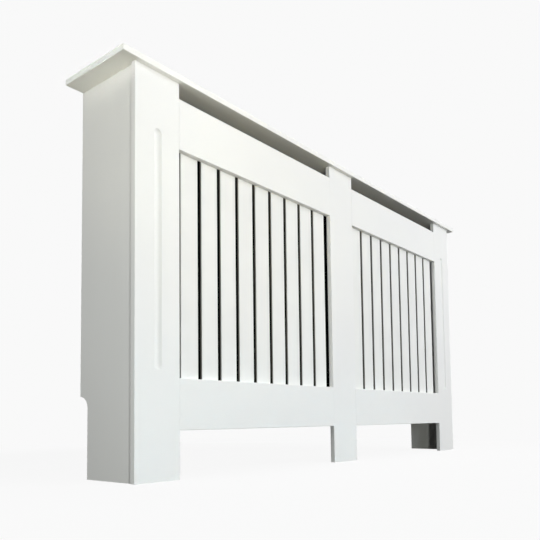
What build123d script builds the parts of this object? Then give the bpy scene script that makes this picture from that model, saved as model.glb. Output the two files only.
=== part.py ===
from build123d import *
import math
import os

os.makedirs("parts", exist_ok=True)

# A radiator cover cabinet of painted board, in millimetres.
# X runs along the front, the front faces -Y, and Z goes up from the floor.
# The origin is on the floor, in the middle of the whole cabinet.

# The whole cabinet
overall_width = 1520
overall_depth = 190
overall_height = 815

# The shelf board, which overhangs the cabinet at the front and at both ends
shelf_thickness = 12
side_overhang = 37
front_overhang = 11
shelf_arris = 1.5

# The side panels, set in from the stiles' outer edges and notched at the back
# to clear a skirting board
side_thickness = 12
side_reveal = 5
notch_depth = 25
notch_height = 165
notch_land = 1

# The front frame: three stiles with two rails in each bay between them
frame_thickness = 12
end_stile_width = 113
centre_stile_width = 113
top_rail_height = 106
bottom_rail_height = 103
vent_height = 32
inlet_height = 96
frame_arris = 1.0
stile_rear_chamfer = 0.6

# The flute routed down each end stile with a round-nosed cutter
flute_radius = 11
flute_depth = 5.5
flute_top_margin = 115
flute_foot_margin = 213

# The slats, pinned to the back of the rails: as many as fit, centred in each bay
slat_width = 48
slat_gap = 11.5
slat_thickness = 5
slat_lap = 40
slat_arris = 0.6

# Dowels in the rail ends
dowel_diameter = 6
dowel_length = 30
dowel_end_gap = 1
dowel_inset = 26
dowel_chamfer = 0.8

# Brads through the slat ends
brad_shank = 1.4
brad_head = 2.8
brad_head_height = 0.7
brad_bite = 9
brad_spread = 24

# Battens that join the boards inside
batten_section = 20
batten_chamfer = 1.0
corner_batten_foot = 112
cleat_rear_gap = 30
centre_block_length = 50
corner_screw_count = 4
cleat_screw_count = 2
centre_screw_spread = 30
side_screw_share = 1 / 4
cross_screw_share = 3 / 4

# Countersunk screws through the battens
screw_shank = 3.5
screw_head = 7.0
screw_bite = 8
screw_point = 4
screw_clearance = 0.15
drive_width = 1.0
drive_span = 3.8
drive_depth = 1.4

# Steel angles that hold the cabinet to the wall
bracket_leg = 30
bracket_width = 25
bracket_thickness = 2
bracket_bend = 2
bracket_corner = 3
bracket_drop = 75
wall_hole_diameter = 4.5
wall_hole_inset = 11
bracket_screw_bite = 9
bracket_screw_inset = 7
bracket_screw_pitch = 12
pan_head = 7.0
pan_height = 2.4

# Places worked out from the sizes above
stile_outer = overall_width / 2 - side_overhang
panel_outer = stile_outer - side_reveal
panel_inner = panel_outer - side_thickness
front_face = front_overhang - overall_depth / 2
frame_back = front_face + frame_thickness
frame_middle = front_face + frame_thickness / 2
slat_back = frame_back + slat_thickness
batten_back = frame_back + batten_section
wall_face = overall_depth / 2
shelf_underside = overall_height - shelf_thickness

bay_outer = stile_outer - end_stile_width
bay_inner = centre_stile_width / 2
bay_width = bay_outer - bay_inner
bay_middle = (bay_outer + bay_inner) / 2
top_rail_top = shelf_underside - vent_height
top_rail_foot = top_rail_top - top_rail_height
bottom_rail_top = inlet_height + bottom_rail_height
slat_foot = bottom_rail_top - slat_lap
slat_top = top_rail_foot + slat_lap
slat_pitch = slat_width + slat_gap
slats_per_bay = int((bay_width - slat_gap) // slat_pitch)

brad_length = slat_thickness + brad_bite
screw_length = batten_section + screw_bite
pan_screw_length = bracket_thickness + bracket_screw_bite

sides = {"left": -1, "right": 1}
rails = {"top": (top_rail_foot, top_rail_height), "bottom": (inlet_height, bottom_rail_height)}
dowel_rows = [
    level
    for foot, height in rails.values()
    for level in (foot + dowel_inset, foot + height - dowel_inset)
]
brad_rows = {"top": slat_top - slat_lap / 2, "bottom": slat_foot + slat_lap / 2}


def slat_middle(side, number):
    """The middle of a slat across the front, counted from the left of its bay."""
    return side * bay_middle + (number - (slats_per_bay + 1) / 2) * slat_pitch


def facing(direction):
    """The turn that points a screw's tip, drawn along -Z, in a named direction."""
    turns = {"left": (0, 90, 0), "right": (0, -90, 0), "front": (-90, 0, 0), "up": (180, 0, 0)}
    return turns[direction]


def spread(start, length, count, share):
    """Even places along a length, each at a share of its own stretch."""
    return [start + length * (index + share) / count for index in range(count)]


# Where each dowel, brad and screw goes
dowel_joints = {
    side_name: [
        Location((side * end, frame_middle, level), (0, 90, 0))
        for end in (bay_inner, bay_outer)
        for level in dowel_rows
    ]
    for side_name, side in sides.items()
}
brad_places = {
    (side_name, number, row): [
        Location((slat_middle(side, number) + shift, slat_back, level), facing("front"))
        for shift in (-brad_spread / 2, brad_spread / 2)
    ]
    for side_name, side in sides.items()
    for number in range(1, slats_per_bay + 1)
    for row, level in brad_rows.items()
}
corner_batten_length = shelf_underside - corner_batten_foot
cleat_length = wall_face - cleat_rear_gap - batten_back
batten_middle = panel_inner - batten_section / 2
batten_line = frame_back + batten_section / 2
cleat_level = shelf_underside - batten_section / 2
corner_screws_side = {
    side_name: [
        Location((side * (panel_inner - batten_section), batten_line, level), facing(side_name))
        for level in spread(
            corner_batten_foot, corner_batten_length, corner_screw_count, side_screw_share
        )
    ]
    for side_name, side in sides.items()
}
corner_screws_front = {
    side_name: [
        Location((side * batten_middle, batten_back, level), facing("front"))
        for level in spread(
            corner_batten_foot, corner_batten_length, corner_screw_count, cross_screw_share
        )
    ]
    for side_name, side in sides.items()
}
cleat_screws_side = {
    side_name: [
        Location((side * (panel_inner - batten_section), line, cleat_level), facing(side_name))
        for line in spread(batten_back, cleat_length, cleat_screw_count, side_screw_share)
    ]
    for side_name, side in sides.items()
}
cleat_screws_up = {
    side_name: [
        Location((side * batten_middle, line, shelf_underside - batten_section), facing("up"))
        for line in spread(batten_back, cleat_length, cleat_screw_count, cross_screw_share)
    ]
    for side_name, side in sides.items()
}
centre_screws_front = [
    Location((shift, batten_back, cleat_level), facing("front"))
    for shift in (-centre_screw_spread / 2, centre_screw_spread / 2)
]
centre_screws_up = [Location((0, batten_line, shelf_underside - batten_section), facing("up"))]
bracket_level = shelf_underside - bracket_drop
bracket_screws = {
    side_name: [
        Location((side * (panel_inner - bracket_thickness), line, bracket_level), facing(side_name))
        for line in (
            wall_face - bracket_leg + bracket_screw_inset,
            wall_face - bracket_leg + bracket_screw_inset + bracket_screw_pitch,
        )
    ]
    for side_name, side in sides.items()
}
wall_hole_line = panel_inner - bracket_leg + wall_hole_inset


def bore(places, diameter, depth):
    """Cut round holes into the part in hand, down from each place."""
    with Locations(*places):
        Cylinder(diameter / 2, depth, align=(Align.CENTER, Align.CENTER, Align.MAX), mode=Mode.SUBTRACT)


def screw_holes(places):
    """Cut clearance holes with countersinks through a batten."""
    hole_radius = screw_shank / 2 + screw_clearance
    sink_radius = screw_head / 2 + screw_clearance
    with Locations(*places):
        CounterSinkHole(hole_radius, sink_radius, batten_section)


def cross_drive(top):
    """Cut a cross recess into a screw head whose top is at the given height."""
    for turn in (0, 90):
        with Locations(Location((0, 0, top), (0, 0, turn))):
            Box(
                drive_span,
                drive_width,
                drive_depth,
                align=(Align.CENTER, Align.CENTER, Align.MAX),
                mode=Mode.SUBTRACT,
            )


# Shelf
with BuildPart() as top_shelf:
    with BuildSketch(Plane.XY.offset(shelf_underside)):
        Rectangle(overall_width, overall_depth)
    extrude(amount=shelf_thickness)
    fillet(top_shelf.edges(), shelf_arris)
    pilots = [place for group in cleat_screws_up.values() for place in group] + centre_screws_up
    bore(pilots, screw_shank, screw_length)
top_shelf.part.label = "top_shelf"
export_step(top_shelf.part, "parts/top_shelf.step")

# Side panels
notch_face = wall_face - notch_depth
notch_radius = notch_depth - notch_land
for side_name, side in sides.items():
    with BuildPart() as side_panel:
        with BuildSketch(Plane.YZ.offset(side * panel_inner)):
            with BuildLine():
                foot = Line((frame_back, 0), (notch_face, 0))
                riser = Line(foot @ 1, (notch_face, notch_height - notch_radius))
                corner = JernArc(riser @ 1, (0, 1), notch_radius, -90)
                land = Line(corner @ 1, (wall_face, notch_height))
                Polyline(
                    land @ 1,
                    (wall_face, shelf_underside),
                    (frame_back, shelf_underside),
                    foot @ 0,
                )
            make_face()
        extrude(amount=side * side_thickness)
        bore(corner_screws_side[side_name], screw_shank, screw_length)
        bore(cleat_screws_side[side_name], screw_shank, screw_length)
        bore(bracket_screws[side_name], screw_shank, pan_screw_length)
    side_panel.part.label = f"{side_name}_side_panel"
    export_step(side_panel.part, f"parts/{side_name}_side_panel.step")

# End stiles, each with its flute
flute_half_width = math.sqrt(flute_radius**2 - (flute_radius - flute_depth) ** 2)
flute_foot = flute_foot_margin + flute_half_width - flute_radius
flute_top = shelf_underside - flute_top_margin - flute_half_width + flute_radius
flute_axis_line = front_face - flute_radius + flute_depth
stile_dowel_depth = dowel_length / 2 + dowel_end_gap
for side_name, side in sides.items():
    stile_middle = side * (stile_outer - end_stile_width / 2)
    with BuildPart() as end_stile:
        with BuildSketch():
            with Locations((stile_middle, frame_middle)):
                Rectangle(end_stile_width, frame_thickness)
        extrude(amount=shelf_underside)
        uprights = end_stile.edges().filter_by(Axis.Z).sort_by(Axis.X)
        outer_uprights = uprights[-2:] if side > 0 else uprights[:2]
        rear_edge = outer_uprights.sort_by(Axis.Y)[-1]
        front_edges = end_stile.edges().filter_by(Axis.Z).group_by(Axis.Y)[0]
        chamfer(rear_edge, stile_rear_chamfer)
        fillet(front_edges, frame_arris)
        with BuildSketch(Plane.XZ.offset(-flute_axis_line)):
            with BuildLine():
                foot_arc = JernArc((stile_middle, flute_foot), (1, 0), flute_radius, 90)
                wall = Line(foot_arc @ 1, (stile_middle + flute_radius, flute_top - flute_radius))
                top_arc = JernArc(wall @ 1, (0, 1), flute_radius, 90)
                Line(top_arc @ 1, foot_arc @ 0)
            make_face()
        flute_axis = Axis((stile_middle, flute_axis_line, 0), (0, 0, 1))
        revolve(axis=flute_axis, mode=Mode.SUBTRACT)
        outer_joints = dowel_joints[side_name][len(dowel_rows):]
        with Locations(*outer_joints):
            Cylinder(dowel_diameter / 2, 2 * stile_dowel_depth, mode=Mode.SUBTRACT)
        bore(corner_screws_front[side_name], screw_shank, screw_length)
    end_stile.part.label = f"{side_name}_end_stile"
    export_step(end_stile.part, f"parts/{side_name}_end_stile.step")

# Centre stile
with BuildPart() as centre_stile:
    with BuildSketch():
        with Locations((0, frame_middle)):
            Rectangle(centre_stile_width, frame_thickness)
    extrude(amount=shelf_underside)
    fillet(centre_stile.edges().filter_by(Axis.Z).group_by(Axis.Y)[0], frame_arris)
    for side_name in sides:
        inner_joints = dowel_joints[side_name][: len(dowel_rows)]
        with Locations(*inner_joints):
            Cylinder(dowel_diameter / 2, 2 * stile_dowel_depth, mode=Mode.SUBTRACT)
    bore(centre_screws_front, screw_shank, screw_length)
centre_stile.part.label = "centre_stile"
export_step(centre_stile.part, "parts/centre_stile.step")

# Rails
for side_name, side in sides.items():
    for rail_name, (rail_foot, rail_height) in rails.items():
        with BuildPart() as rail:
            with BuildSketch(Plane.XY.offset(rail_foot)):
                with Locations((side * bay_middle, frame_middle)):
                    Rectangle(bay_width, frame_thickness)
            extrude(amount=rail_height)
            front_edges = rail.edges().group_by(Axis.Y)[0]
            fillet(front_edges.filter_by(Axis.X), frame_arris)
            for end in (bay_inner, bay_outer):
                with Locations(*[
                    Location((side * end, frame_middle, rail_foot + rise), (0, 90, 0))
                    for rise in (dowel_inset, rail_height - dowel_inset)
                ]):
                    Cylinder(dowel_diameter / 2, 2 * stile_dowel_depth, mode=Mode.SUBTRACT)
            for number in range(1, slats_per_bay + 1):
                bore(brad_places[side_name, number, rail_name], brad_shank, brad_length)
        rail.part.label = f"{side_name}_{rail_name}_rail"
        export_step(rail.part, f"parts/{side_name}_{rail_name}_rail.step")

# Slats
for side_name, side in sides.items():
    for number in range(1, slats_per_bay + 1):
        with BuildPart() as slat:
            with BuildSketch(Plane.XY.offset(slat_foot)):
                with Locations((slat_middle(side, number), frame_back + slat_thickness / 2)):
                    Rectangle(slat_width, slat_thickness)
            extrude(amount=slat_top - slat_foot)
            fillet(slat.edges().filter_by(Axis.Z).group_by(Axis.Y)[0], slat_arris)
            for row in brad_rows:
                bore(brad_places[side_name, number, row], brad_shank, slat_thickness)
                bore(brad_places[side_name, number, row], brad_head, brad_head_height)
        slat.part.label = f"slat_{side_name}_{number}"
        export_step(slat.part, f"parts/slat_{side_name}_{number}.step")

# Dowels
with BuildPart() as dowel:
    Cylinder(dowel_diameter / 2, dowel_length)
    chamfer(dowel.edges(), dowel_chamfer)
with BuildPart() as frame_dowels:
    for side_name in sides:
        with Locations(*dowel_joints[side_name]):
            add(dowel.part)
frame_dowels.part.label = "frame_dowels"
export_step(frame_dowels.part, "parts/frame_dowels.step")

# Brads
with BuildPart() as brad:
    with BuildSketch():
        Circle(brad_shank / 2)
    extrude(amount=-brad_length)
    with BuildSketch():
        Circle(brad_head / 2)
    extrude(amount=-brad_head_height)
with BuildPart() as slat_brads:
    for places in brad_places.values():
        with Locations(*places):
            add(brad.part)
slat_brads.part.label = "slat_brads"
export_step(slat_brads.part, "parts/slat_brads.step")

# Corner battens, upright behind the end stiles
for side_name, side in sides.items():
    with BuildPart() as corner_batten:
        with BuildSketch(Plane.XY.offset(corner_batten_foot)):
            with Locations((side * batten_middle, batten_line)):
                Rectangle(batten_section, batten_section)
        extrude(amount=corner_batten_length)
        inside = corner_batten.edges().filter_by(Axis.Z).sort_by(Axis.X)
        free_edges = inside[:2] if side > 0 else inside[-2:]
        chamfer(free_edges.sort_by(Axis.Y)[-1], batten_chamfer)
        screw_holes(corner_screws_side[side_name])
        screw_holes(corner_screws_front[side_name])
    corner_batten.part.label = f"{side_name}_corner_batten"
    export_step(corner_batten.part, f"parts/{side_name}_corner_batten.step")

# Cleats that carry the shelf on the side panels
for side_name, side in sides.items():
    with BuildPart() as shelf_cleat:
        with BuildSketch(Plane.XZ.offset(-batten_back)):
            with Locations((side * batten_middle, cleat_level)):
                Rectangle(batten_section, batten_section)
        extrude(amount=-cleat_length)
        inside = shelf_cleat.edges().filter_by(Axis.Y).sort_by(Axis.X)
        free_edges = inside[:2] if side > 0 else inside[-2:]
        chamfer(free_edges.sort_by(Axis.Z)[0], batten_chamfer)
        screw_holes(cleat_screws_side[side_name])
        screw_holes(cleat_screws_up[side_name])
    shelf_cleat.part.label = f"{side_name}_shelf_cleat"
    export_step(shelf_cleat.part, f"parts/{side_name}_shelf_cleat.step")

# Block that joins the shelf to the centre stile
with BuildPart() as centre_shelf_block:
    with BuildSketch(Plane.XY.offset(shelf_underside - batten_section)):
        with Locations((0, batten_line)):
            Rectangle(centre_block_length, batten_section)
    extrude(amount=batten_section)
    back_edges = centre_shelf_block.edges().filter_by(Axis.X).group_by(Axis.Y)[-1]
    chamfer(back_edges.sort_by(Axis.Z)[0], batten_chamfer)
    screw_holes(centre_screws_front)
    screw_holes(centre_screws_up)
centre_shelf_block.part.label = "centre_shelf_block"
export_step(centre_shelf_block.part, "parts/centre_shelf_block.step")

# Countersunk screws
with BuildPart() as screw:
    with BuildSketch(Plane.XZ):
        with BuildLine():
            Polyline(
                (0, 0),
                (screw_head / 2, 0),
                (screw_shank / 2, (screw_shank - screw_head) / 2),
                (screw_shank / 2, screw_point - screw_length),
                (0, -screw_length),
                close=True,
            )
        make_face()
    revolve(axis=Axis.Z)
    cross_drive(0)
screw_groups = {
    "corner_batten_screws": [corner_screws_side, corner_screws_front],
    "shelf_cleat_screws": [cleat_screws_side, cleat_screws_up],
    "centre_block_screws": [{"front": centre_screws_front}, {"up": centre_screws_up}],
}
for group_name, layouts in screw_groups.items():
    with BuildPart() as screw_group:
        for layout in layouts:
            for places in layout.values():
                with Locations(*places):
                    add(screw.part)
    screw_group.part.label = group_name
    export_step(screw_group.part, f"parts/{group_name}.step")

# Wall brackets
for side_name, side in sides.items():
    with BuildPart() as wall_bracket:
        with BuildSketch(Plane.XY.offset(bracket_level - bracket_width / 2)):
            with BuildLine():
                Polyline(
                    (side * panel_inner, wall_face - bracket_leg),
                    (side * panel_inner, wall_face),
                    (side * (panel_inner - bracket_leg), wall_face),
                    (side * (panel_inner - bracket_leg), wall_face - bracket_thickness),
                    (side * (panel_inner - bracket_thickness), wall_face - bracket_thickness),
                    (side * (panel_inner - bracket_thickness), wall_face - bracket_leg),
                    close=True,
                )
            make_face()
        extrude(amount=bracket_width)
        bends = wall_bracket.edges().filter_by(Axis.Z).sort_by(Axis.X)
        bend_edges = bends[-4:] if side > 0 else bends[:4]
        inner_bend = bend_edges.sort_by(Axis.Y)[1:3].sort_by(Axis.X)
        fillet(inner_bend[0] if side > 0 else inner_bend[-1], bracket_bend)
        tips = wall_bracket.edges().filter_by(Axis.Y).filter_by(
            lambda edge: abs(edge.length - bracket_thickness) < bracket_thickness / 2
        )
        fillet(tips, bracket_corner)
        with Locations(*bracket_screws[side_name]):
            Hole(screw_shank / 2 + screw_clearance, 2 * bracket_thickness)
        with Locations(Location((side * wall_hole_line, wall_face, bracket_level), facing("front"))):
            Hole(wall_hole_diameter / 2, 2 * bracket_thickness)
    wall_bracket.part.label = f"{side_name}_wall_bracket"
    export_step(wall_bracket.part, f"parts/{side_name}_wall_bracket.step")

# Pan-head screws in the wall brackets
with BuildPart() as pan_screw:
    with BuildSketch(Plane.XZ):
        with BuildLine():
            flat = Line((0, pan_height), (pan_head / 2 - pan_height, pan_height))
            dome = JernArc(flat @ 1, (1, 0), pan_height, -90)
            Polyline(
                dome @ 1,
                (screw_shank / 2, 0),
                (screw_shank / 2, screw_point - pan_screw_length),
                (0, -pan_screw_length),
                flat @ 0,
            )
        make_face()
    revolve(axis=Axis.Z)
    cross_drive(pan_height)
with BuildPart() as wall_bracket_screws:
    for places in bracket_screws.values():
        with Locations(*places):
            add(pan_screw.part)
wall_bracket_screws.part.label = "wall_bracket_screws"
export_step(wall_bracket_screws.part, "parts/wall_bracket_screws.step")
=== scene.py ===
import bpy
from math import radians
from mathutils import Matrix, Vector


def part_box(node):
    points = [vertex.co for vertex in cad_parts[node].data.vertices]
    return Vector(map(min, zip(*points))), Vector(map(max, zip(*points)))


# A radiator cover cabinet in white satin paint, dressed over its own CAD pieces.
# Metres, with the front facing -Y and the floor at z = 0.

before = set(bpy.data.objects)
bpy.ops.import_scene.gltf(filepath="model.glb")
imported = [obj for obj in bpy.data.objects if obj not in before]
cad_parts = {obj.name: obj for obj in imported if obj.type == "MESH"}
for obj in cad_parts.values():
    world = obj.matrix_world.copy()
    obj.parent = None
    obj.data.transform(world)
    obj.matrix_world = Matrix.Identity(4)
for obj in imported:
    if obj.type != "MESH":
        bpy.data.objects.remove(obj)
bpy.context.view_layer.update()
bpy.ops.object.select_all(action="DESELECT")
scene = bpy.context.scene
scene.view_settings.view_transform = "Standard"
print("loaded", len(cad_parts), "pieces")


# An input that is given a socket is linked to it, and any other value is set.
def addNode(tree, kind, place, inputs=None, **settings):
    node = tree.nodes.new(kind)
    node.location = place
    for name, value in settings.items():
        setattr(node, name, value)
    for key, value in (inputs or {}).items():
        if isinstance(value, bpy.types.NodeSocket):
            tree.links.new(value, node.inputs[key])
        else:
            node.inputs[key].default_value = value
    return node


def addMath(tree, operation, place, *values, **settings):
    inputs = dict(enumerate(values))
    return addNode(tree, "ShaderNodeMath", place, inputs, operation=operation, **settings).outputs[0]


def addMix(tree, place, factor, first, second):
    inputs = {"Factor": factor, "A": first, "B": second}
    return addNode(tree, "ShaderNodeMix", place, inputs, data_type="RGBA").outputs["Result"]


def mixShaders(tree, place, share, first, second):
    node = addNode(tree, "ShaderNodeMixShader", place, {"Fac": share, 1: first, 2: second})
    return node.outputs[0]


def newGroup(name, inputs, outputs):
    group = bpy.data.node_groups.new(name, "ShaderNodeTree")
    for socketName, kind, value in inputs:
        socket = group.interface.new_socket(socketName, in_out="INPUT", socket_type=kind)
        if value is not None:
            socket.default_value = value
    for socketName, kind in outputs:
        group.interface.new_socket(socketName, in_out="OUTPUT", socket_type=kind)
    entry = addNode(group, "NodeGroupInput", (-900, 0))
    return group, entry.outputs


def endGroup(group, outputs):
    addNode(group, "NodeGroupOutput", (700, 0), outputs)
    return group


def newTree(holder):
    holder.use_nodes = True
    holder.node_tree.nodes.clear()
    return holder.node_tree


finishOutputs = [
    ("Colour", "NodeSocketColor"),
    ("Roughness", "NodeSocketFloat"),
    ("Normal", "NodeSocketVector"),
]
rollerNoise = {
    "stipple": {"Detail": 2.0, "Roughness": 0.45},
    "drift": {"Detail": 3.0, "Roughness": 0.5},
    "spread": {"From Min": 0.35, "From Max": 0.65},
    "middle": 0.5,
    "depth": 0.0004,
}


def makeRollerSkin():  # the faint stipple that a foam roller leaves in satin paint
    group, entry = newGroup(
        "rollerSkin",
        [
            ("Position", "NodeSocketVector", None),
            ("Colour", "NodeSocketColor", (0.85, 0.85, 0.84, 1)),
            ("Shade", "NodeSocketColor", (0.8, 0.8, 0.78, 1)),
            ("Stipple Scale", "NodeSocketFloat", 420.0),
            ("Stipple Height", "NodeSocketFloat", 0.02),
            ("Drift Scale", "NodeSocketFloat", 5.0),
            ("Roughness", "NodeSocketFloat", 0.42),
            ("Roughness Drift", "NodeSocketFloat", 0.08),
        ],
        finishOutputs,
    )
    fine = {"Vector": entry["Position"], "Scale": entry["Stipple Scale"], **rollerNoise["stipple"]}
    stipple = addNode(group, "ShaderNodeTexNoise", (-600, -200), fine)
    slow = {"Vector": entry["Position"], "Scale": entry["Drift Scale"], **rollerNoise["drift"]}
    drift = addNode(group, "ShaderNodeTexNoise", (-600, 200), slow).outputs["Fac"]
    spread = addNode(group, "ShaderNodeMapRange", (-350, 200), {"Value": drift, **rollerNoise["spread"]})
    colour = addMix(group, (-100, 300), spread.outputs["Result"], entry["Shade"], entry["Colour"])
    centred = addMath(group, "SUBTRACT", (-350, 0), drift, rollerNoise["middle"])
    rough = addMath(
        group, "MULTIPLY_ADD", (-100, 0), centred, entry["Roughness Drift"], entry["Roughness"]
    )
    relief = {
        "Distance": rollerNoise["depth"],
        "Strength": entry["Stipple Height"],
        "Height": stipple.outputs["Fac"],
    }
    bump = addNode(group, "ShaderNodeBump", (300, -200), relief)
    return endGroup(group, {"Colour": colour, "Roughness": rough, "Normal": bump.outputs["Normal"]})


grainNoise = {
    "stretch": (0.06, 1.0, 1.0),
    "rings": {"Detail": 2.0, "Roughness": 0.5, "Distortion": 0.6},
    "ringCount": 7.0,
    "fibre": {"Scale": 900.0, "Detail": 3.0},
    "roughness": {"To Min": 0.55, "To Max": 0.75},
    "depth": 0.0003,
}


def makeTimberGrain():  # straight planed softwood, grain along the mapped X axis
    group, entry = newGroup(
        "timberGrain",
        [
            ("Position", "NodeSocketVector", None),
            ("Early Wood", "NodeSocketColor", (0.8, 0.64, 0.42, 1)),
            ("Late Wood", "NodeSocketColor", (0.6, 0.4, 0.22, 1)),
            ("Ring Scale", "NodeSocketFloat", 60.0),
            ("Fibre Height", "NodeSocketFloat", 0.15),
        ],
        finishOutputs,
    )
    axes = {0: entry["Position"], 1: grainNoise["stretch"]}
    stretch = addNode(group, "ShaderNodeVectorMath", (-700, 100), axes, operation="MULTIPLY").outputs[0]
    slow = {"Vector": stretch, "Scale": entry["Ring Scale"], **grainNoise["rings"]}
    rings = addNode(group, "ShaderNodeTexNoise", (-450, 200), slow)
    bands = addMath(group, "MULTIPLY", (-250, 200), rings.outputs["Fac"], grainNoise["ringCount"])
    saw = addMath(group, "FRACT", (-80, 200), bands)
    colour = addMix(group, (120, 250), saw, entry["Early Wood"], entry["Late Wood"])
    fine = {"Vector": stretch, **grainNoise["fibre"]}
    fibre = addNode(group, "ShaderNodeTexNoise", (-450, -150), fine).outputs["Fac"]
    rough = addNode(group, "ShaderNodeMapRange", (-100, -50), {"Value": fibre, **grainNoise["roughness"]})
    relief = {"Distance": grainNoise["depth"], "Strength": entry["Fibre Height"], "Height": fibre}
    bump = addNode(group, "ShaderNodeBump", (300, -200), relief)
    ends = {"Colour": colour, "Roughness": rough.outputs["Result"], "Normal": bump.outputs["Normal"]}
    return endGroup(group, ends)


plateNoise = {
    "roughness": {"To Min": 0.28, "To Max": 0.46},
    "scratches": {"Scale": 1600.0, "Detail": 2.0},
    "relief": {"Strength": 0.12, "Distance": 0.0002},
}


def makePlatedSteel():  # zinc with its faint crystal patches and fine scratches
    group, entry = newGroup(
        "platedSteel",
        [
            ("Position", "NodeSocketVector", None),
            ("Colour", "NodeSocketColor", (0.7, 0.7, 0.68, 1)),
            ("Patch Colour", "NodeSocketColor", (0.6, 0.6, 0.6, 1)),
            ("Patch Scale", "NodeSocketFloat", 300.0),
        ],
        finishOutputs,
    )
    cells = {"Vector": entry["Position"], "Scale": entry["Patch Scale"]}
    patches = addNode(group, "ShaderNodeTexVoronoi", (-600, 200), cells)
    tone = addNode(group, "ShaderNodeSeparateColor", (-400, 200), {"Color": patches.outputs["Color"]})
    colour = addMix(group, (-100, 250), tone.outputs["Red"], entry["Colour"], entry["Patch Colour"])
    dull = {"Value": tone.outputs["Green"], **plateNoise["roughness"]}
    rough = addNode(group, "ShaderNodeMapRange", (-100, 0), dull)
    fine = {"Vector": entry["Position"], **plateNoise["scratches"]}
    scratches = addNode(group, "ShaderNodeTexNoise", (-600, -200), fine)
    relief = {"Height": scratches.outputs["Fac"], **plateNoise["relief"]}
    bump = addNode(group, "ShaderNodeBump", (300, -200), relief)
    ends = {"Colour": colour, "Roughness": rough.outputs["Result"], "Normal": bump.outputs["Normal"]}
    return endGroup(group, ends)


# Painted shade: the slats' side faces get a dark colour, growing darker towards their backs, for the
# shade in the gaps between slats.
firstLow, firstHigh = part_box("slat_right_1")
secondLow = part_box("slat_right_2")[0]
sideShadeDepth = 0.004  # how far behind the slat's front the painted shade grows to its darkest
sideShadeValues = {
    "Side Shade Colour": (0.14, 0.125, 0.11, 1),
    "First Middle": (firstLow.x + firstHigh.x) / 2,
    "Pitch": secondLow.x - firstLow.x,
    "Half Width": (firstHigh.x - firstLow.x) / 2,
    "Front": firstLow.y,
    "Back": firstLow.y + sideShadeDepth,
}
edgeFinder = {"From Min": -0.0003, "From Max": -0.0001}  # just short of the half width


def makePaintedSideShade():  # painted shade on the slats' side faces, darker towards their backs
    group, entry = newGroup(
        "paintedSideShade",
        [
            ("Position", "NodeSocketVector", None),
            ("Colour", "NodeSocketColor", (0.85, 0.85, 0.84, 1)),
            ("Side Shade Colour", "NodeSocketColor", sideShadeValues["Side Shade Colour"]),
            ("First Middle", "NodeSocketFloat", sideShadeValues["First Middle"]),
            ("Pitch", "NodeSocketFloat", sideShadeValues["Pitch"]),
            ("Half Width", "NodeSocketFloat", sideShadeValues["Half Width"]),
            ("Front", "NodeSocketFloat", sideShadeValues["Front"]),
            ("Back", "NodeSocketFloat", sideShadeValues["Back"]),
        ],
        [("Colour", "NodeSocketColor")],
    )
    axes = addNode(group, "ShaderNodeSeparateXYZ", (-700, 0), {"Vector": entry["Position"]}).outputs
    across = addMath(group, "ABSOLUTE", (-550, 100), axes["X"])
    fromFirst = addMath(group, "SUBTRACT", (-400, 100), across, entry["First Middle"])
    halfPitch = addMath(group, "MULTIPLY", (-550, 300), entry["Pitch"], 1 / 2)
    lowPitch = addMath(group, "MULTIPLY", (-400, 300), entry["Pitch"], -1 / 2)
    within = addMath(group, "WRAP", (-250, 100), fromFirst, halfPitch, lowPitch)
    offMiddle = addMath(group, "ABSOLUTE", (-100, 100), within)
    pastEdge = addMath(group, "SUBTRACT", (50, 100), offMiddle, entry["Half Width"])
    onEdge = addNode(group, "ShaderNodeMapRange", (200, 100), {"Value": pastEdge, **edgeFinder})
    reach = {"Value": axes["Y"], "From Min": entry["Front"], "From Max": entry["Back"]}
    depth = addNode(group, "ShaderNodeMapRange", (200, -150), reach)
    shadeAmount = addMath(group, "MULTIPLY", (400, 0), onEdge.outputs["Result"], depth.outputs["Result"])
    colour = addMix(group, (550, 0), shadeAmount, entry["Colour"], entry["Side Shade Colour"])
    return endGroup(group, {"Colour": colour})


rollerSkin = makeRollerSkin()
timberGrain = makeTimberGrain()
platedSteel = makePlatedSteel()
paintedSideShade = makePaintedSideShade()
print("made the shared finish groups")


def finishWith(name, group, values, shaderValues, turn=(0, 0, 0), sideShadeInputs=None):
    material = bpy.data.materials.new(name)
    tree = newTree(material)
    place = addNode(tree, "ShaderNodeTexCoord", (-700, 0)).outputs["Object"]
    mapping = addNode(tree, "ShaderNodeMapping", (-500, 0), {"Vector": place, "Rotation": turn})
    inputs = {"Position": mapping.outputs["Vector"], **values}
    skin = addNode(tree, "ShaderNodeGroup", (-200, 0), inputs, node_tree=group).outputs
    colour = skin["Colour"]
    # painted shade on the slats' side faces, when its values are given
    if sideShadeInputs:
        inputs = {"Position": place, "Colour": colour, **sideShadeInputs}
        edge = addNode(tree, "ShaderNodeGroup", (50, 200), inputs, node_tree=paintedSideShade)
        colour = edge.outputs["Colour"]
    inputs = {"Base Color": colour, "Roughness": skin["Roughness"], "Normal": skin["Normal"]}
    inputs.update(shaderValues)
    shader = addNode(tree, "ShaderNodeBsdfPrincipled", (300, 0), inputs)
    addNode(tree, "ShaderNodeOutputMaterial", (600, 0), {"Surface": shader.outputs["BSDF"]})
    return material


# Painted light: the shelf gets a lighter copy of the same white paint, so that it reads brighter than the
# frame.
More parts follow.
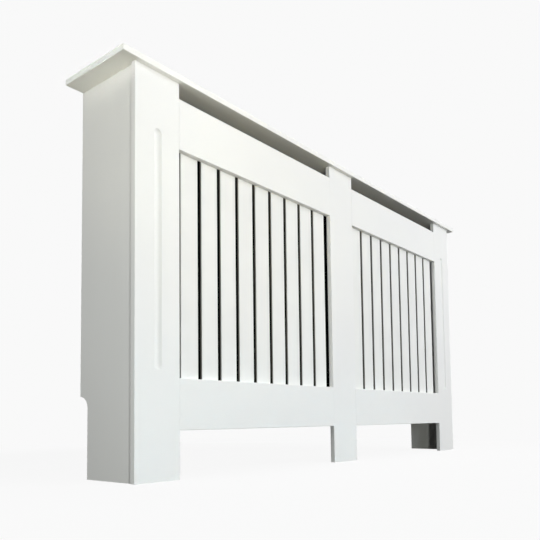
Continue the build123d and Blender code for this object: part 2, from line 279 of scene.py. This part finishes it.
shelfPaint = {
    "Colour": (0.92, 0.92, 0.89, 1),
    "Shade": (0.9, 0.9, 0.87, 1),
    "Stipple Scale": 380.0,
    "Stipple Height": 0.1,
    "Drift Scale": 3.0,
    "Roughness": 0.4,
    "Roughness Drift": 0.1,
}
panelPaint = {
    "Colour": (0.86, 0.86, 0.84, 1),
    "Shade": (0.84, 0.84, 0.82, 1),
    "Stipple Scale": 420.0,
    "Stipple Height": 0.1,
    "Drift Scale": 4.0,
    "Roughness": 0.45,
    "Roughness Drift": 0.1,
}
framePaint = {
    "Colour": (0.88, 0.88, 0.86, 1),
    "Shade": (0.86, 0.86, 0.85, 1),
    "Stipple Scale": 420.0,
    "Stipple Height": 0.1,
    "Drift Scale": 4.0,
    "Roughness": 0.42,
    "Roughness Drift": 0.1,
}
slatPaint = {
    "Colour": (0.87, 0.87, 0.85, 1),
    "Shade": (0.84, 0.84, 0.82, 1),
    "Stipple Scale": 460.0,
    "Stipple Height": 0.1,
    "Drift Scale": 9.0,
    "Roughness": 0.45,
    "Roughness Drift": 0.12,
}
paintShader = {"Metallic": 0.0, "IOR": 1.46, "Specular IOR Level": 0.12}
timber = {
    "Early Wood": (0.78, 0.6, 0.36, 1),
    "Late Wood": (0.62, 0.42, 0.22, 1),
    "Ring Scale": 55.0,
    "Fibre Height": 0.2,
}
timberShader = {"Metallic": 0.0, "IOR": 1.45, "Specular IOR Level": 0.25}
dowelWood = dict(timber, **{"Early Wood": (0.72, 0.52, 0.32, 1), "Ring Scale": 140.0})
zinc = {
    "Colour": (0.72, 0.71, 0.66, 1),
    "Patch Colour": (0.62, 0.62, 0.6, 1),
    "Patch Scale": 260.0,
}
brightSteel = dict(zinc, **{"Colour": (0.6, 0.6, 0.6, 1), "Patch Scale": 900.0})
steelShader = {"Metallic": 1.0}

alongGrain = (0, 0, 0)
crossGrain = (0, 0, radians(90))
uprightGrain = (0, radians(90), 0)
finishes = {
    "shelfPaint": finishWith("shelfPaint", rollerSkin, shelfPaint, paintShader),
    "panelPaint": finishWith("panelPaint", rollerSkin, panelPaint, paintShader),
    "framePaint": finishWith("framePaint", rollerSkin, framePaint, paintShader),
    "slatPaint": finishWith("slatPaint", rollerSkin, slatPaint, paintShader, sideShadeInputs=sideShadeValues),
    "battenUpright": finishWith("battenUpright", timberGrain, timber, timberShader, uprightGrain),
    "battenCross": finishWith("battenCross", timberGrain, timber, timberShader, crossGrain),
    "battenAlong": finishWith("battenAlong", timberGrain, timber, timberShader, alongGrain),
    "dowelWood": finishWith("dowelWood", timberGrain, dowelWood, timberShader, alongGrain),
    "zincPlate": finishWith("zincPlate", platedSteel, zinc, steelShader),
    "brightSteel": finishWith("brightSteel", platedSteel, brightSteel, steelShader),
}
finishByEnding = {  # the first ending that fits a piece's name gives its finish
    "top_shelf": "shelfPaint",
    "side_panel": "panelPaint",
    "stile": "framePaint",
    "rail": "framePaint",
    "corner_batten": "battenUpright",
    "shelf_cleat": "battenCross",
    "centre_shelf_block": "battenAlong",
    "frame_dowels": "dowelWood",
    "slat_brads": "brightSteel",
    "screws": "zincPlate",
    "wall_bracket": "zincPlate",
}


def finishFor(node):
    for ending, finish in finishByEnding.items():
        if node.endswith(ending):
            return finish
    return "slatPaint"  # a slat's name ends in its number


for nodeName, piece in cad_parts.items():
    piece.data.materials.clear()
    piece.data.materials.append(finishes[finishFor(nodeName)])
print("finished", len(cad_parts), "pieces in", len(finishes), "finishes")

paper = {
    "colour": (0.947, 0.947, 0.947, 1),  # what the camera sees, round the shadow
    "bounce": (0.03, 0.03, 0.03, 1),  # what the floor gives back to the cabinet
    "size": 60.0,
    "shadowShare": 0.06,
    "lift": 0.457,  # makes up for the light the shadow layer holds back
    "shadowFrom": 0.9,
    "shadowTo": 1.6,
}


def seenDirectly(tree):  # 1 for camera, glossy and transmission rays, else 0
    rays = addNode(tree, "ShaderNodeLightPath", (-700, 500)).outputs
    first = addMath(tree, "ADD", (-500, 500), rays["Is Camera Ray"], rays["Is Glossy Ray"])
    return addMath(tree, "ADD", (-300, 500), first, rays["Is Transmission Ray"], use_clamp=True)


def addDiffuse(tree, place, colour):
    return addNode(tree, "ShaderNodeBsdfDiffuse", place, {"Color": colour}).outputs[0]


def makePaperMaterial():
    material = bpy.data.materials.new("paleFloor")
    tree = newTree(material)
    place = addNode(tree, "ShaderNodeTexCoord", (-900, 0)).outputs["Object"]
    reach = addNode(tree, "ShaderNodeVectorMath", (-700, 0), {0: place}, operation="LENGTH")
    span = {
        "Value": reach.outputs["Value"],
        "From Min": paper["shadowFrom"],
        "From Max": paper["shadowTo"],
        "To Min": paper["shadowShare"],
        "To Max": 0.0,
    }
    fade = addNode(tree, "ShaderNodeMapRange", (-500, 0), span, interpolation_type="SMOOTHSTEP")
    share = fade.outputs["Result"]
    lift = addMath(tree, "MULTIPLY_ADD", (-200, 100), share, paper["lift"], 1.0)
    glow = addNode(tree, "ShaderNodeEmission", (100, 100), {"Color": paper["colour"], "Strength": lift})
    shade = addDiffuse(tree, (100, -100), paper["colour"])
    bounce = addDiffuse(tree, (100, -300), paper["bounce"])
    seen = mixShaders(tree, (350, 0), share, glow.outputs[0], shade)
    surface = mixShaders(tree, (600, 0), seenDirectly(tree), bounce, seen)
    addNode(tree, "ShaderNodeOutputMaterial", (900, 0), {"Surface": surface})
    return material


bpy.ops.mesh.primitive_plane_add(size=paper["size"], location=(0, 0, 0))
floor = bpy.context.object
floor.name = "paleFloor"
floor.data.materials.append(makePaperMaterial())

roomLight = {"Color": (1.0, 1.0, 1.0, 1), "Strength": 0.006}


def makeRoom():
    world = bpy.data.worlds.new("paleRoom")
    tree = newTree(world)
    seenSky = addNode(tree, "ShaderNodeBackground", (300, 100), {"Color": paper["colour"]})
    litSky = addNode(tree, "ShaderNodeBackground", (300, -100), roomLight)
    surface = mixShaders(tree, (600, 0), seenDirectly(tree), litSky.outputs[0], seenSky.outputs[0])
    addNode(tree, "ShaderNodeOutputWorld", (900, 0), {"Surface": surface})
    return world


scene.world = makeRoom()

# Painted shade: the shaded space behind the slats is a black card at the wall side.
# It is black from the front, clear from behind, and casts no shadow, so the lamp at
# the back reaches the slats. The lower card is narrower, to stay clear of the skirting notches.
shadeCard = {
    "inset": 0.001,
    "foot": 0.1,
    "footHalfWidth": 0.68,
    "notchTop": 0.167,
    # the black of the painted shade
    "colour": (0.004, 0.004, 0.004, 1),
}


def makeShadeCardMaterial():
    material = bpy.data.materials.new("shadeCard")
    tree = newTree(material)
    side = addNode(tree, "ShaderNodeNewGeometry", (-400, 0)).outputs
    rays = addNode(tree, "ShaderNodeLightPath", (-400, 400)).outputs
    fromFront = addMath(tree, "SUBTRACT", (-200, 0), 1.0, side["Backfacing"])
    notShadow = addMath(tree, "SUBTRACT", (-200, 300), 1.0, rays["Is Shadow Ray"])
    shown = addMath(tree, "MULTIPLY", (200, 300), fromFront, notShadow)
    clear = addNode(tree, "ShaderNodeBsdfTransparent", (200, -100)).outputs[0]
    dark = addDiffuse(tree, (200, 100), shadeCard["colour"])
    surface = mixShaders(tree, (500, 0), shown, clear, dark)
    addNode(tree, "ShaderNodeOutputMaterial", (800, 0), {"Surface": surface})
    return material


def addCard(name, halfWidth, depth, low, high, material):
    bpy.ops.object.select_all(action="DESELECT")
    bpy.ops.mesh.primitive_plane_add(size=1.0, rotation=(radians(90), 0, 0))
    card = bpy.context.object
    card.name = name
    card.location = (0, depth, (low + high) / 2)
    card.scale = (2 * halfWidth, high - low, 1)
    bpy.ops.object.transform_apply(location=True, rotation=True, scale=True)
    card.data.materials.append(material)


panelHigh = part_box("left_side_panel")[1]
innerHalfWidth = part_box("right_side_panel")[0].x
wallSide = panelHigh.y - shadeCard["inset"]
notchTop = shadeCard["notchTop"]
shadeCardMaterial = makeShadeCardMaterial()
addCard("shadeCard", innerHalfWidth, wallSide, notchTop, panelHigh.z, shadeCardMaterial)
addCard("shadeCardFoot", shadeCard["footHalfWidth"], wallSide, shadeCard["foot"], notchTop, shadeCardMaterial)
print("set the stage")


plainLamp = {"spread": 180, "colour": (1.0, 1.0, 1.0)}  # for a lamp that gives none of its own
lamps = {
    "highKey": {  # the main light, from above and in front
        "place": (0.2, -2.6, 2.6),
        "aim": (0, 0, 0.5),
        "size": (1.5, 0.6),
        "power": 36.0,
        "colour": (0.963, 0.977, 1.0),
    },
    "rightKey": {  # level, from the right front
        "place": (1.8, -3.0, 0.95),
        "aim": (0, 0, 0.5),
        "size": (1.2, 0.5),
        "power": 56.5,
        "colour": (0.979, 0.988, 1.0),
    },
    "leftKey": {  # cooler and farther off, from the left front
        "place": (-3.0, -4.8, 1.1),
        "aim": (0, 0, 0.5),
        "size": (1.2, 0.8),
        "power": 46.9,
        "colour": (0.861, 0.916, 1.0),
    },
    "leftSide": {  # on the left side panel
        "place": (-2.0, -0.2, 0.65),
        "aim": (-0.72, -0.05, 0.45),
        "size": (0.25, 0.9),
        "power": 7.4,
        "colour": (0.987, 1.0, 0.977),
    },
    "lowLeft": {  # small and near the camera, for the foot and the shelf's underside
        "place": (-1.38, -1.57, 0.15),
        "aim": (0, 0, 0.4),
        "size": (0.12, 0.12),
        "power": 8.22,
        "colour": (0.971, 1.0, 0.923),
    },
    "underShelf": {  # a narrow beam up at the shelf and the vents
        "place": (-0.8, -0.9, 0.03),
        "aim": (-0.3, -0.05, 0.8),
        "size": (0.3, 0.1),
        "spread": 60,
        "power": 0.138,
        "colour": (1.0, 0.85, 0.529),
    },
    "underRight": {  # another, turned to the right bay
        "place": (-1.38, -1.57, 0.15),
        "aim": (0.1, -0.05, 0.95),
        "size": (0.12, 0.12),
        "spread": 50,
        "power": 0.12,
        "colour": (1.0, 0.852, 0.319),
    },
    "underEnd": {  # another, up at the shelf's left end
        "place": (-1.3, -0.3, 0.1),
        "aim": (-0.74, 0, 0.85),
        "size": (0.2, 0.2),
        "spread": 45,
        "power": 0.087,
        "colour": (1.0, 0.951, 0.744),
    },
    "shelfEnd": {  # a thin level beam at the shelf's left end
        "place": (-1.9, -0.25, 0.81),
        "aim": (-0.76, -0.02, 0.85),
        "size": (0.1, 0.01),
        "spread": 10,
        "power": 0.026,
    },
    "topLeft": {  # a soft warm pool of light on the top left of the front
        "place": (-0.6, -2.4, 1.3),
        "aim": (-0.59, -0.08, 0.7),
        "size": (0.2, 0.2),
        "spread": 14,
        "power": 0.034,
        "colour": (1.0, 0.96, 0.85),
    },
    "lowFill": {  # a flat cool beam along the foot of the front
        "place": (-0.3, -2.6, 0.1),
        "aim": (-0.3, 0, 0.02),
        "size": (1.4, 0.06),
        "spread": 16,
        "power": 0.14,
        "colour": (0.5, 0.85, 1.0),
    },
    "rightSide": {  # on the right side panel, out of the photograph's view
        "place": (2.1, 0.0, 0.9),
        "aim": (0.72, 0, 0.5),
        "size": (0.3, 0.6),
        "power": 8.0,
    },
    "overhead": {  # on the shelf's top
        "place": (0.0, -0.7, 3.0),
        "aim": (0, 0, 0.8),
        "size": (1.6, 0.3),
        "spread": 50,
        "power": 0.5,
    },
    "rearBeam": {  # on the backs of the slats, clear of the feet and the vents
        "place": (0.9, 2.4, 0.9),
        "aim": (0.1, 0, 0.45),
        "size": (1.6, 0.1),
        "spread": 20,
        "power": 0.55,
    },
}


def addLamp(name, values):
    data = bpy.data.lights.new(name, "AREA")
    data.shape = "RECTANGLE"
    data.size, data.size_y = values["size"]
    data.spread = radians(values["spread"])
    data.energy = values["power"]
    data.color = values["colour"]
    lamp = bpy.data.objects.new(name, data)
    scene.collection.objects.link(lamp)
    lamp.location = values["place"]
    aim = Vector(values["aim"]) - Vector(values["place"])
    lamp.rotation_euler = aim.to_track_quat("-Z", "Y").to_euler()
    lamp.visible_camera = False


for lampName, lampValues in lamps.items():
    addLamp(lampName, {**plainLamp, **lampValues})
print("hung", len(lamps), "lamps")


# The camera stands low at the left front, at the photograph's place.
view = {
    "place": (-1.4417, -0.9821, 0.1176),
    "turn": (93.9216, 0.5932, -49.5109),
    "lens": 41.016,
    "sensor": 36.0,
    "shift": (0.03234, 0.19715),
    "reach": 200.0,
}
cameraData = bpy.data.cameras.new("camera")
cameraData.sensor_width = view["sensor"]
cameraData.lens = view["lens"]
cameraData.shift_x, cameraData.shift_y = view["shift"]
cameraData.clip_end = view["reach"]
camera = bpy.data.objects.new("camera", cameraData)
scene.collection.objects.link(camera)
camera.location = view["place"]
camera.rotation_euler = [radians(angle) for angle in view["turn"]]
scene.camera = camera
print("placed the camera")
